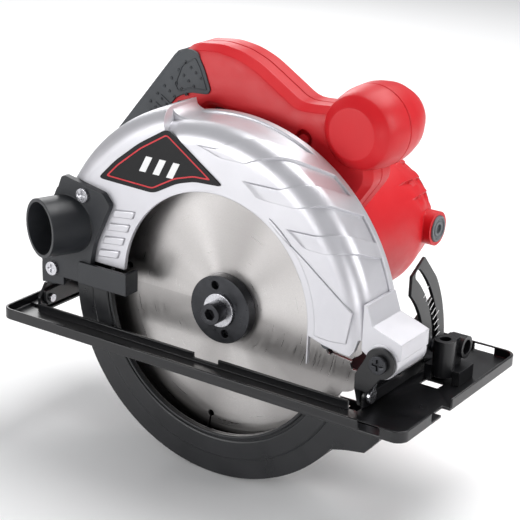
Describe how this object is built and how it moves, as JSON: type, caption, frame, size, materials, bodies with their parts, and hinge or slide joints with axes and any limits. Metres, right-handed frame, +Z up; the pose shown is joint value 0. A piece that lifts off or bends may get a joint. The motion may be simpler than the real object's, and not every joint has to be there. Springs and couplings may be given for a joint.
{
  "type": "circular saw",
  "caption": "Hand-held electric circular saw with bevel and depth adjustment, swinging lower guard and dust port.",
  "frame": {"origin": "underside of the sole, below the motor, level with the spindle along the cut and 60 mm to the motor side of the blade", "axes": "+X is the cutting direction, +Y points from the blade towards the motor, +Z is up out of the work"},
  "size_m": [0.2776, 0.1918, 0.2426],
  "materials": {
    "black_sheet_steel": null,
    "plated_steel": null,
    "blackened_steel": null,
    "guard_casting": null,
    "swing_guard_paint": null,
    "light_metal": null,
    "badge": null,
    "blade_steel": null,
    "machined_steel": null,
    "copper": null,
    "red_plastic": null,
    "grey_plastic": null,
    "black_plastic": null,
    "soft_rubber": null
  },
  "bodies": {
    "base": {"base_plate": "black_sheet_steel", "bevel_quadrant": "black_sheet_steel", "rear_hinge_bracket": "black_sheet_steel", "tilt_pins": "plated_steel", "guide_holder": "black_sheet_steel", "base_rivets": "plated_steel"},
    "tilt": {"tilt_bracket": "black_sheet_steel", "depth_pivot_screw": "blackened_steel", "bevel_clamp_bolt": "plated_steel", "depth_arc": "black_sheet_steel", "pivot_spring": "plated_steel"},
    "bevel_lever": {"bevel_clamp_lever": "black_plastic"},
    "saw": {"upper_guard": "guard_casting", "badge_plate": "badge", "dust_adapter": "black_plastic", "adapter_screws": "plated_steel", "guard_bumper": "soft_rubber", "guard_return_spring": "plated_steel", "arbor_front_bearing": "machined_steel", "arbor_rear_bearing": "machined_steel", "gear_case": "light_metal", "gear_case_screws": "plated_steel", "motor_housing": "red_plastic", "end_cap": "black_plastic", "end_cap_screws": "plated_steel", "stator_core": "machined_steel", "field_coils": "copper", "motor_front_bearing": "machined_steel", "motor_rear_bearing": "machined_steel", "brush_holders": "copper", "carbon_brushes": "black_plastic", "brush_caps": "grey_plastic", "handle_shell_right": "red_plastic", "handle_shell_left": "red_plastic", "grip_pad": "soft_rubber", "handle_screws": "plated_steel", "trigger_pin": "machined_steel", "trigger_switch": "black_plastic", "cord_inlet": "soft_rubber", "depth_clamp_bolt": "plated_steel"},
    "blade": {"saw_blade": "blade_steel", "outer_flange": "blackened_steel", "inner_flange": "machined_steel", "blade_washer": "plated_steel", "blade_bolt": "blackened_steel", "arbor": "machined_steel", "drive_gear": "machined_steel"},
    "armature": {"armature_shaft": "machined_steel", "pinion": "machined_steel", "armature_core": "machined_steel", "armature_windings": "copper", "commutator": "copper", "cooling_fan": "black_plastic"},
    "swing_guard": {"lower_guard": "swing_guard_paint", "lift_lever": "black_plastic"},
    "trigger": {"trigger": "black_plastic"},
    "lock_off": {"lock_off_button": "black_plastic"},
    "spindle_lock": {"spindle_lock_button": "black_plastic"},
    "depth_lever": {"depth_clamp_lever": "black_plastic"}
  },
  "joints": [
    {"name": "bevel_tilt", "type": "hinge", "parent": "base", "child": "tilt", "pos_m": [0, -0.0685, 0.0077], "axis": [1, 0, 0], "range_deg": [0, 45]},
    {"name": "bevel_lever_turn", "type": "hinge", "parent": "tilt", "child": "bevel_lever", "pos_m": [0.092, 0.00428, 0.01343], "axis": [1, 0, 0], "range_deg": [0, 50]},
    {"name": "depth_swing", "type": "hinge", "parent": "tilt", "child": "saw", "pos_m": [0.111, -0.06, 0.0325], "axis": [0, 1, 0], "range_deg": [0, 33]},
    {"name": "blade_spin", "type": "hinge", "parent": "saw", "child": "blade", "pos_m": [0, -0.06, 0.0314], "axis": [0, 1, 0], "continuous": true},
    {"name": "armature_spin", "type": "hinge", "parent": "saw", "child": "armature", "pos_m": [0.01887, 0.02, 0.05938], "axis": [0, 1, 0], "continuous": true},
    {"name": "lower_guard_swing", "type": "hinge", "parent": "saw", "child": "swing_guard", "pos_m": [0, -0.06, 0.0314], "axis": [0, 1, 0], "range_deg": [0, 95], "stiffness_Nm_per_rad": 0.12, "springref_deg": -68.75},
    {"name": "trigger_squeeze", "type": "hinge", "parent": "saw", "child": "trigger", "pos_m": [-0.03588, -0.017, 0.14375], "axis": [0, 1, 0], "range_deg": [0, 8], "stiffness_Nm_per_rad": 0.8, "springref_deg": -5.73},
    {"name": "lock_off_press", "type": "slide", "parent": "saw", "child": "lock_off", "axis": [0, -1, 0], "range_m": [0, 0.003], "stiffness_N_per_m": 500, "springref_m": -0.002},
    {"name": "spindle_lock_press", "type": "slide", "parent": "saw", "child": "spindle_lock", "axis": [0, -1, 0], "range_m": [0, 0.0014], "stiffness_N_per_m": 800, "springref_m": -0.002},
    {"name": "depth_lever_turn", "type": "hinge", "parent": "saw", "child": "depth_lever", "pos_m": [-0.054, -0.031, 0.0325], "axis": [0, -1, 0], "range_deg": [0, 40]}
  ],
  "couplings": [
    {"joint": "armature_spin", "follows": "blade_spin", "ratio": -3.5}
  ]
}
